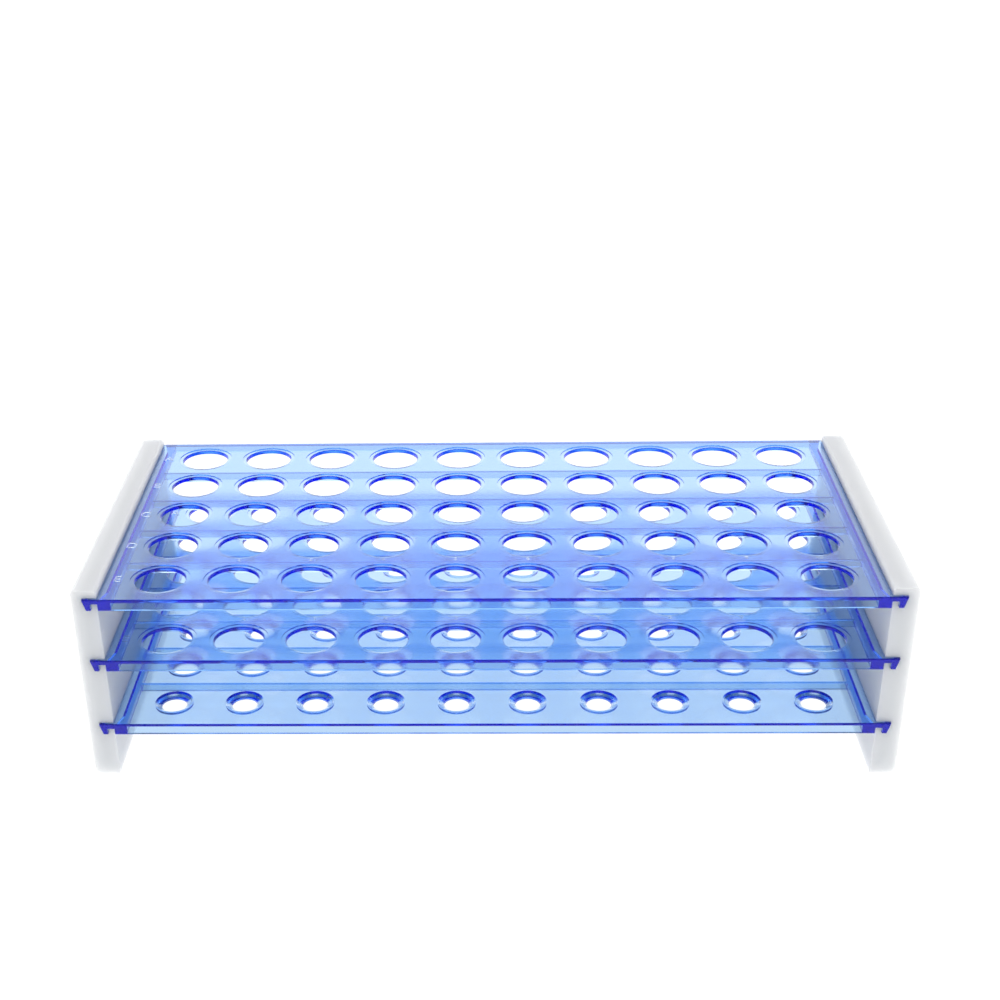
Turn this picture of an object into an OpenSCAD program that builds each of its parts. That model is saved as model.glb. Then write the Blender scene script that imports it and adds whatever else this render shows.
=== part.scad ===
// Test tube rack: three shelves that slide into the grooves of two end plates.
// Tubes drop through the top and middle shelves, and their round feet sit on the bottom one.
// Millimetres. Origin at the middle of the footprint, X along the rack, Y to the back, Z up.

/* [Holes] */
// Distance between neighbouring hole centres, along and across the rack
pitch = 22.5; // [22.5:0.5:30]
// Holes along the rack
columns = 10; // [4:1:12]
// Holes from front to back
rows = 5; // [2:1:6]
// Diameter of a tube hole in the top and middle shelves
tube_hole_d = 15.5; // [12:0.1:18.6]
// Width of the shallow rim sunk round a tube hole, from the hole's edge
rim_w = 1.5; // [1:0.1:1.6]
// Depth of that rim
rim_drop = 0.3; // [0.1:0.1:0.4]
// Radius of the lead-in at the hole's edge in the rim
lead_in_r = 0.4; // [0.2:0.1:0.5]
// Diameter of a seat at the bottom shelf's top face
seat_d = 12; // [9:0.1:14]
// Diameter of the drain hole at the foot of a seat
drain_d = 8; // [5:0.1:8.8]
// Depth of a seat's cone
seat_cone_h = 1.3; // [0.8:0.1:1.6]
// Height of the straight wall under the cone
drain_h = 0.6; // [0.4:0.1:1.6]
// Wall of the boss round a drain hole
seat_boss_wall = 2; // [1.8:0.1:4]

/* [Shelves] */
// Last hole centre to the shelf's tip
end_margin = 21.35; // [20:0.05:30]
// Outer hole row to the shelf's front or back edge
edge_margin = 13.35; // [10.5:0.05:16]
// Thickness of the top and middle shelves
shelf_t = 1.4; // [1:0.1:2]
// Depth of their legs and ribs, from the shelf's top down
leg_h = 3.6; // [3:0.1:5]
// Thickness of the bottom shelf
bottom_t = 1.2; // [1:0.1:1.6]
// Thickness of the bottom shelf over the end plates
bottom_end_t = 1.6; // [1.6:0.1:2]
// Depth of the bottom shelf's legs and ribs, from its top down
bottom_leg_h = 3.6; // [3:0.1:4.4]
// Width of the outer leg where it meets the shelf
outer_leg_w = 2.5; // [2:0.1:3]
// How far the outer leg's outside face slants inwards
outer_leg_slant = 1.1; // [0:0.1:1.4]
// Shelf's tip to the inner leg
inner_leg_at = 6.3; // [6.2:0.1:9]
// Width of the inner leg where it meets the shelf
inner_leg_w = 2.2; // [1.8:0.1:3]
// How far the inner leg's outside face slants inwards
inner_leg_slant = 0.4; // [0:0.1:0.8]
// Thickness of the skirts along the front and back edges
skirt_t = 1.2; // [0.8:0.1:2]
// Radius of the top edge along the front and back
edge_r = 0.4; // [0.1:0.1:0.6]
// Thickness of a rib between two hole rows
rib_t = 1; // [0.6:0.1:1.4]
// Length of the guide wedges beside the inner legs
wedge_l = 7; // [3:0.5:12]

/* [End plates] */
// Height of the rack
rack_h = 66; // [60:1:90]
// Thickness of an end plate
end_t = 7.8; // [6.6:0.1:12]
// How far a shelf's tip reaches into an end plate
tongue = 4.4; // [4:0.1:5.5]
// How far the shelves stand out past the end plates, at the front and at the back
shelf_proud = 0.8; // [0:0.1:2]
// Radius of the top edges
top_r = 1.2; // [0.5:0.1:3]
// Width of the bevel at the foot of the outside face
bevel_w = 1; // [0.5:0.1:2]
// Height of that bevel
bevel_h = 2; // [0.5:0.1:4]

/* [Levels] */
// Top of the end plates down to the top shelf
top_drop = 2.5; // [1:0.1:6]
// Floor up to the middle shelf's top face
middle_z = 42.3; // [34:0.1:44]
// Floor up to the bottom shelf's top face
bottom_z = 19.2; // [8:0.1:24]

/* [Fits] */
// Gap between a shelf's end and its groove, all round
groove_gap = 0.12; // [0.05:0.01:0.3]
// Gap between a guide wedge and the end plate
wedge_gap = 0.3; // [0.1:0.05:0.6]

/* [Hidden] */
$fn = 64;
through = 1; // how far a cut runs past the face it opens
columns_span = (columns - 1) * pitch;
rows_span = (rows - 1) * pitch;
tip_x = columns_span / 2 + end_margin;
rack_d = rows_span + 2 * edge_margin;
end_d = rack_d - 2 * shelf_proud;
inner_x = tip_x - tongue;
outer_x = inner_x + end_t;
leg_x = tip_x - inner_leg_at;
leg_inside_x = leg_x - inner_leg_w;
top_z = rack_h - top_drop;

// Extrudes an outline drawn in X and Z from front to back
module along_depth(depth) {
  rotate([90, 0, 0]) linear_extrude(depth, center = true) children();
}

// Places its children at every hole centre
module each_hole() {
  for (i = [0 : columns - 1], j = [0 : rows - 1])
    translate([i * pitch - columns_span / 2, j * pitch - rows_span / 2, 0]) children();
}

// Half of a shelf's section, with its top face at 0: the plate and the two legs of one end
module half_section(plate_t, end_plate_t, depth) {
  polygon([
    [0, 0],
    [tip_x, 0],
    [tip_x - outer_leg_slant, -depth],
    [tip_x - outer_leg_w, -depth],
    [tip_x - outer_leg_w, -end_plate_t],
    [leg_x, -end_plate_t],
    [leg_x - inner_leg_slant, -depth],
    [leg_inside_x, -depth],
    [leg_inside_x, -plate_t],
    [0, -plate_t],
  ]);
}

// Section of the groove that takes one end of such a shelf
module groove_section(end_plate_t, depth) {
  polygon([
    [inner_x - through, groove_gap],
    [tip_x + groove_gap, groove_gap],
    [tip_x + groove_gap - outer_leg_slant, -depth - groove_gap],
    [tip_x - outer_leg_w - groove_gap, -depth - groove_gap],
    [tip_x - outer_leg_w - groove_gap, -end_plate_t - groove_gap],
    [inner_x - through, -end_plate_t - groove_gap],
  ]);
}

// A bar under the shelf from inner leg to inner leg, at one place front to back
module cross_bar(y, thickness, depth) {
  translate([-leg_inside_x, y - thickness / 2, -depth])
    cube([2 * leg_inside_x, thickness, depth]);
}

// The wedge outside an inner leg at the front, thickest at the shelf's edge
module guide_wedge(depth) {
  root_x = leg_x - inner_leg_slant;
  translate([0, 0, -depth]) linear_extrude(depth)
    polygon([
      [root_x, -rack_d / 2],
      [inner_x - wedge_gap, -rack_d / 2],
      [root_x, wedge_l - rack_d / 2],
    ]);
}

// What rounding by r takes off a square corner at 0, 0 that points to +X and +Y
module corner_waste(r) {
  difference() {
    square(2 * r, center = true);
    translate([-r, -r]) circle(r);
  }
}

// What rounding takes off the top edge along the front
module edge_waste() {
  translate([0, -rack_d / 2, 0]) rotate([90, 0, -90])
    linear_extrude(2 * (tip_x + through), center = true) corner_waste(edge_r);
}

// A shelf without its holes, its top face at 0
module shelf_blank(plate_t, end_plate_t, depth) {
  difference() {
    union() {
      for (side = [0, 1]) mirror([side, 0, 0]) {
        along_depth(rack_d) half_section(plate_t, end_plate_t, depth);
        for (back = [0, 1]) mirror([0, back, 0]) guide_wedge(depth);
      }
      for (side = [-1, 1]) cross_bar(side * (rack_d - skirt_t) / 2, skirt_t, depth);
      for (j = [1 : rows - 1]) cross_bar((j - rows / 2) * pitch, rib_t, depth);
    }
    for (back = [0, 1]) mirror([0, back, 0]) edge_waste();
  }
}

// The top and middle shelves: a sunk rim round each tube hole
module tube_shelf() {
  difference() {
    shelf_blank(shelf_t, shelf_t, leg_h);
    each_hole() translate([0, 0, -leg_h - through])
      cylinder(h = leg_h + 2 * through, d = tube_hole_d);
    each_hole() translate([0, 0, -rim_drop])
      cylinder(h = rim_drop + through, d = tube_hole_d + 2 * rim_w);
    each_hole() rotate_extrude() translate([tube_hole_d / 2, -rim_drop])
      mirror([1, 0]) corner_waste(lead_in_r);
  }
}

// The bottom shelf: a cone over a drain hole under each tube
module seat_shelf() {
  seat_h = seat_cone_h + drain_h;
  difference() {
    union() {
      shelf_blank(bottom_t, bottom_end_t, bottom_leg_h);
      each_hole() translate([0, 0, -seat_h])
        cylinder(h = seat_h, d = drain_d + 2 * seat_boss_wall);
    }
    each_hole() translate([0, 0, -bottom_leg_h - through])
      cylinder(h = bottom_leg_h + 2 * through, d = drain_d);
    each_hole() translate([0, 0, -seat_cone_h])
      cylinder(h = seat_cone_h, d1 = drain_d, d2 = seat_d);
  }
}

// The end plate at +X: a slab with a groove for each shelf, open at the front and the back
module end_plate() {
  along_depth(end_d) difference() {
    translate([inner_x, 0]) square([end_t, rack_h]);
    translate([outer_x, rack_h]) corner_waste(top_r);
    translate([inner_x, rack_h]) mirror([1, 0]) corner_waste(top_r);
    polygon([
      [outer_x - bevel_w, 0],
      [outer_x - bevel_w, -through],
      [outer_x + through, -through],
      [outer_x + through, bevel_h],
      [outer_x, bevel_h],
    ]);
    for (z = [top_z, middle_z]) translate([0, z]) groove_section(shelf_t, leg_h);
    translate([0, bottom_z]) groove_section(bottom_end_t, bottom_leg_h);
  }
}

module right_end_plate() {
  color("whitesmoke", 0.8) end_plate();
}

module left_end_plate() {
  color("whitesmoke", 0.8) mirror([1, 0, 0]) end_plate();
}

module top_shelf() {
  color("cornflowerblue", 0.6) translate([0, 0, top_z]) tube_shelf();
}

module middle_shelf() {
  color("cornflowerblue", 0.6) translate([0, 0, middle_z]) tube_shelf();
}

module bottom_shelf() {
  color("cornflowerblue", 0.6) translate([0, 0, bottom_z]) seat_shelf();
}

left_end_plate();
right_end_plate();
top_shelf();
middle_shelf();
bottom_shelf();
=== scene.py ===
"""Looks of a test tube rack: clear blue slide-in shelves between two milky end plates.

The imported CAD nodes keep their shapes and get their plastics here. The raised row letters and
column numbers, the floor, the lights and the camera are added around them. Metres throughout.
"""

import bmesh
import bpy
import numpy as np
from mathutils import Matrix


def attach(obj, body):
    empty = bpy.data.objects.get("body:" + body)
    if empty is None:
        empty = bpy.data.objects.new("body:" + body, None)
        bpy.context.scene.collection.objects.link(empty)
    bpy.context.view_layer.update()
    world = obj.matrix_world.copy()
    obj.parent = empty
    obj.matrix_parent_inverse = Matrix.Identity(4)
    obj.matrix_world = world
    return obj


MM = 0.001

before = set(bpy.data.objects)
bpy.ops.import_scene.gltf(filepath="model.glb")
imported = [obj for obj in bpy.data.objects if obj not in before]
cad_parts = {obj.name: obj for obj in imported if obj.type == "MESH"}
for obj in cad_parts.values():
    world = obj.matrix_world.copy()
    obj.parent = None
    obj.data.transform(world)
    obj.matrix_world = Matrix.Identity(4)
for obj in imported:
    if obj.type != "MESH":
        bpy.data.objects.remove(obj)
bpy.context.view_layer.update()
scene = bpy.context.scene

# ---------------------------------------------------------------- materials

SHELF_FACE_TINT = (0.95, 0.95, 0.9, 1)
SHELF_IOR = 1.5
SHELF_GLOSS = (0.07, 0.12)
SHELF_WAVES = {"scale": 40, "detail": 1, "strength": 0.05, "distance": 0.2 * MM}
DYE_COLOUR = (0, 0.49, 0.99, 1)
DYE_DENSITY = 530

PLATE_WHITE = (0.69, 0.71, 0.73, 1)
PLATE_IOR = 1.49
PLATE_SATIN = (0.38, 0.5)
PLATE_GRAIN = {"scale": 900, "detail": 3, "strength": 0.15, "distance": 0.05 * MM}
LIGHT_SPREAD = 8 * MM
# painted light: a faint white emission of the end plates, though they are no lamp, to lift their
# shaded inner faces
PAINTED_GLOW = 0.08

FLOOR_GREY = (0.2, 0.2, 0.2, 1)
WHITE = (1, 1, 1, 1)


def new_material(name):
    """An empty node material: (material, node adder, linker, output node)."""
    material = bpy.data.materials.new(name)
    material.use_nodes = True
    tree = material.node_tree
    tree.nodes.clear()
    output = tree.nodes.new("ShaderNodeOutputMaterial")
    return material, tree.nodes.new, tree.links.new, output


def ripple(add, link, scale, detail, strength, distance):
    """Noise on Object coordinates as a bump: the faint waves of a moulded surface."""
    coords = add("ShaderNodeTexCoord")
    noise = add("ShaderNodeTexNoise")
    noise.inputs["Scale"].default_value = scale
    noise.inputs["Detail"].default_value = detail
    link(coords.outputs["Object"], noise.inputs["Vector"])
    bump = add("ShaderNodeBump")
    bump.inputs["Strength"].default_value = strength
    bump.inputs["Distance"].default_value = distance
    link(noise.outputs["Fac"], bump.inputs["Height"])
    return noise, bump


def varied_roughness(add, link, noise, shader, limits):
    """Drives a shader's roughness between two limits by a noise."""
    spread = add("ShaderNodeMapRange")
    spread.inputs["To Min"].default_value, spread.inputs["To Max"].default_value = limits
    link(noise.outputs["Fac"], spread.inputs["Value"])
    link(spread.outputs["Result"], shader.inputs["Roughness"])


def clear_blue_plastic():
    """Clear polystyrene with blue dye: the longer the way through it, the deeper the blue."""
    material, add, link, output = new_material("clear_blue_plastic")
    shader = add("ShaderNodeBsdfPrincipled")
    shader.inputs["Base Color"].default_value = SHELF_FACE_TINT
    shader.inputs["Transmission Weight"].default_value = 1
    shader.inputs["IOR"].default_value = SHELF_IOR
    noise, bump = ripple(add, link, **SHELF_WAVES)
    link(bump.outputs["Normal"], shader.inputs["Normal"])
    varied_roughness(add, link, noise, shader, SHELF_GLOSS)
    dye = add("ShaderNodeVolumeAbsorption")
    dye.inputs["Color"].default_value = DYE_COLOUR
    dye.inputs["Density"].default_value = DYE_DENSITY
    link(shader.outputs["BSDF"], output.inputs["Surface"])
    link(dye.outputs["Volume"], output.inputs["Volume"])
    return material


def milky_plastic():
    """Translucent white polypropylene: a satin skin over a body, with a faint painted glow that
    lifts its shaded faces.
    """
    material, add, link, output = new_material("milky_plastic")
    shader = add("ShaderNodeBsdfPrincipled")
    shader.inputs["Base Color"].default_value = PLATE_WHITE
    shader.inputs["IOR"].default_value = PLATE_IOR
    shader.inputs["Subsurface Weight"].default_value = 1
    shader.inputs["Subsurface Radius"].default_value = (1, 1, 1)
    shader.inputs["Subsurface Scale"].default_value = LIGHT_SPREAD
    # painted light: the end plates glow a little from within
    shader.inputs["Emission Color"].default_value = WHITE
    shader.inputs["Emission Strength"].default_value = PAINTED_GLOW
    noise, bump = ripple(add, link, **PLATE_GRAIN)
    link(bump.outputs["Normal"], shader.inputs["Normal"])
    varied_roughness(add, link, noise, shader, PLATE_SATIN)
    link(shader.outputs["BSDF"], output.inputs["Surface"])
    return material


def paper_white():
    """The floor: matt, and lit from within like a light table."""
    material, add, link, output = new_material("paper_white")
    shader = add("ShaderNodeBsdfPrincipled")
    shader.inputs["Base Color"].default_value = FLOOR_GREY
    shader.inputs["Roughness"].default_value = 1
    shader.inputs["Specular IOR Level"].default_value = 0
    shader.inputs["Emission Color"].default_value = WHITE
    shader.inputs["Emission Strength"].default_value = 1
    link(shader.outputs["BSDF"], output.inputs["Surface"])
    return material


blue = clear_blue_plastic()
milky = milky_plastic()


def dress(node, material):
    """Gives every material slot of a CAD node one material."""
    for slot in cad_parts[node].material_slots:
        slot.material = material


for shelf in ("top_shelf", "middle_shelf", "bottom_shelf"):
    dress(shelf, blue)
for plate in ("left_end_plate", "right_end_plate"):
    dress(plate, milky)

# ---------------------------------------------------------------- raised marks

PITCH = 22.5 * MM
ROW_LETTERS = "ABCDE"
COLUMNS = 10
TOP_FACE = 63.5 * MM
MIDDLE_FACE = 42.3 * MM
LETTER_X = -114.2 * MM
LETTER_TALL = 3.6 * MM
NUMBER_Y = -32.7 * MM
NUMBER_TALL = 1.9 * MM
MARK_RISE = 0.15 * MM
MARK_ROOT = 0.02 * MM


def flat_mark(text):
    """Points and faces of a text's outline, thickened to -0.5 .. 0.5 and one letter height tall.

    The points are centred on 0, 0 and divided by the outline's height, so y runs -0.5 .. 0.5.
    """
    curve = bpy.data.curves.new("mark", "FONT")
    curve.body = text
    curve.extrude = 0.5
    curve.resolution_u = 3
    source = bpy.data.objects.new("mark", curve)
    mesh = bpy.data.meshes.new_from_object(source)
    bpy.data.objects.remove(source)
    edit = bmesh.new()
    edit.from_mesh(mesh)
    bmesh.ops.remove_doubles(edit, verts=edit.verts, dist=1e-5)
    bmesh.ops.recalc_face_normals(edit, faces=edit.faces)
    points = np.array([v.co[:] for v in edit.verts])
    faces = [[v.index for v in face.verts] for face in edit.faces]
    edit.free()
    low, high = points.min(axis=0), points.max(axis=0)
    points[:, :2] = (points[:, :2] - (low[:2] + high[:2]) / 2) / (high[1] - low[1])
    return points, faces


def raised_marks(node, level):
    """The row letters and column numbers of one shelf, as one mesh a hair above its top face.

    Each mark's flat outline is scaled to its height, its -0.5 .. 0.5 of thickness becomes
    root .. rise above the face, and its middle moves to the row's or the column's place.
    """
    row_middle, column_middle = (len(ROW_LETTERS) - 1) / 2, (COLUMNS - 1) / 2
    rows = [
        (mark, LETTER_X, (row_middle - i) * PITCH, LETTER_TALL) for i, mark in enumerate(ROW_LETTERS)
    ]
    columns = [
        (str(i + 1), (i - column_middle) * PITCH, NUMBER_Y, NUMBER_TALL) for i in range(COLUMNS)
    ]
    points, faces, count = [], [], 0
    for text, x, y, tall in rows + columns:
        outline, corners = flat_mark(text)
        outline[:, :2] *= tall
        outline[:, 2] = level + MARK_ROOT + (outline[:, 2] + 0.5) * MARK_RISE
        outline[:, 0] += x
        outline[:, 1] += y
        points.append(outline)
        faces += [[corner + count for corner in face] for face in corners]
        count += len(outline)
    mesh = bpy.data.meshes.new(node + "_marks")
    mesh.from_pydata(np.concatenate(points).tolist(), [], faces)
    mesh.materials.append(blue)
    marks = bpy.data.objects.new(node + "_marks", mesh)
    scene.collection.objects.link(marks)
    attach(marks, node + "_body")


raised_marks("top_shelf", TOP_FACE)
raised_marks("middle_shelf", MIDDLE_FACE)

# ---------------------------------------------------------------- stage

FLOOR_REACH = 4.0
FLOOR_LINES = 9


def floor_sheet():
    """A flat square grid at height 0."""
    side = np.linspace(-FLOOR_REACH, FLOOR_REACH, FLOOR_LINES)
    x, y = np.meshgrid(side, side, indexing="ij")
    points = np.stack([x, y, np.zeros_like(x)], axis=-1).reshape(-1, 3)
    index = np.arange(FLOOR_LINES**2).reshape(FLOOR_LINES, FLOOR_LINES)
    quads = np.stack([index[:-1, :-1], index[1:, :-1], index[1:, 1:], index[:-1, 1:]], axis=-1)
    mesh = bpy.data.meshes.new("floor")
    mesh.from_pydata(points.tolist(), [], quads.reshape(-1, 4).tolist())
    mesh.materials.append(paper_white())
    sheet = bpy.data.objects.new("floor", mesh)
    scene.collection.objects.link(sheet)
    return sheet


floor_sheet()

ROOM_LIGHT = 0.4
BACKDROP_LIGHT = 1.8
BACKDROP_FULL = 0.55
BACKDROP_END = 0.85
BACKDROP_WRAP = 0.5
OVERHEAD = {"at": (0.2, -0.1, 1.6), "towards": (0, 0, 0), "width": 1.6, "depth": 1.6, "watts": 3}
STEEP = 0.99


def studio_room():
    """A white room: dim light from the front, a bright backdrop that fades out upwards.

    Seen directly it is never darker than plain white.
    """
    world = bpy.data.worlds.new("studio")
    world.use_nodes = True
    add, link = world.node_tree.nodes.new, world.node_tree.links.new
    coords = add("ShaderNodeTexCoord")
    split = add("ShaderNodeSeparateXYZ")
    link(coords.outputs["Generated"], split.inputs["Vector"])
    fade = add("ShaderNodeMapRange")
    fade.interpolation_type = "SMOOTHSTEP"
    fade.inputs["From Min"].default_value = BACKDROP_FULL
    fade.inputs["From Max"].default_value = BACKDROP_END
    fade.inputs["To Min"].default_value = BACKDROP_LIGHT - ROOM_LIGHT
    fade.inputs["To Max"].default_value = 0
    link(split.outputs["Z"], fade.inputs["Value"])
    back = add("ShaderNodeMapRange")
    back.interpolation_type = "SMOOTHSTEP"
    back.inputs["From Min"].default_value = -BACKDROP_WRAP
    back.inputs["From Max"].default_value = BACKDROP_WRAP
    link(split.outputs["Y"], back.inputs["Value"])
    glow = add("ShaderNodeMath")
    glow.operation = "MULTIPLY_ADD"
    link(fade.outputs["Result"], glow.inputs[0])
    link(back.outputs["Result"], glow.inputs[1])
    glow.inputs[2].default_value = ROOM_LIGHT
    background = world.node_tree.nodes["Background"]
    background.inputs["Color"].default_value = WHITE
    seen = add("ShaderNodeLightPath")
    shown = add("ShaderNodeMath")
    shown.operation = "MAXIMUM"
    link(glow.outputs["Value"], shown.inputs[0])
    link(seen.outputs["Is Camera Ray"], shown.inputs[1])
    link(shown.outputs["Value"], background.inputs["Strength"])
    scene.world = world


studio_room()


def soft_box(name, at, towards, width, depth, watts):
    """A rectangular area light at a point, turned to face another."""
    light = bpy.data.lights.new(name, "AREA")
    light.shape = "RECTANGLE"
    light.size, light.size_y = width, depth
    light.energy = watts
    lamp = bpy.data.objects.new(name, light)
    way = np.subtract(towards, at)
    z = -way / np.linalg.norm(way)
    x = np.cross([0, 1, 0] if abs(z[2]) > STEEP else [0, 0, 1], z)
    x /= np.linalg.norm(x)
    turn = Matrix(np.column_stack([x, np.cross(z, x), z]).tolist()).to_4x4()
    lamp.matrix_world = Matrix.Translation(at) @ turn
    scene.collection.objects.link(lamp)


soft_box("overhead", **OVERHEAD)

# ---------------------------------------------------------------- camera

CAMERA_AT = (-0.000999, -0.467749, 0.290306)
LOOK_DOWN = np.radians(28.623)
LOOK_RIGHT = np.radians(-1.889)
ROLL = np.radians(1.134)
LENS = 56.873
SENSOR = 36
NEAREST = 0.01
SHIFT = (0.05721, 0.08936)

camera = bpy.data.objects.new("camera", bpy.data.cameras.new("camera"))
camera.data.lens = LENS
camera.data.sensor_width = SENSOR
camera.data.shift_x, camera.data.shift_y = SHIFT
camera.data.clip_start = NEAREST
camera.matrix_world = (
    Matrix.Translation(CAMERA_AT)
    @ Matrix.Rotation(-LOOK_RIGHT, 4, "Z")
    @ Matrix.Rotation(np.pi / 2 - LOOK_DOWN, 4, "X")
    @ Matrix.Rotation(-ROLL, 4, "Z")
)
scene.collection.objects.link(camera)
scene.camera = camera

scene.view_settings.view_transform = "Standard"

BOUNCES = 128  # light runs far along inside the clear plates
scene.cycles.max_bounces = BOUNCES
scene.cycles.transmission_bounces = BOUNCES
scene.cycles.glossy_bounces = BOUNCES
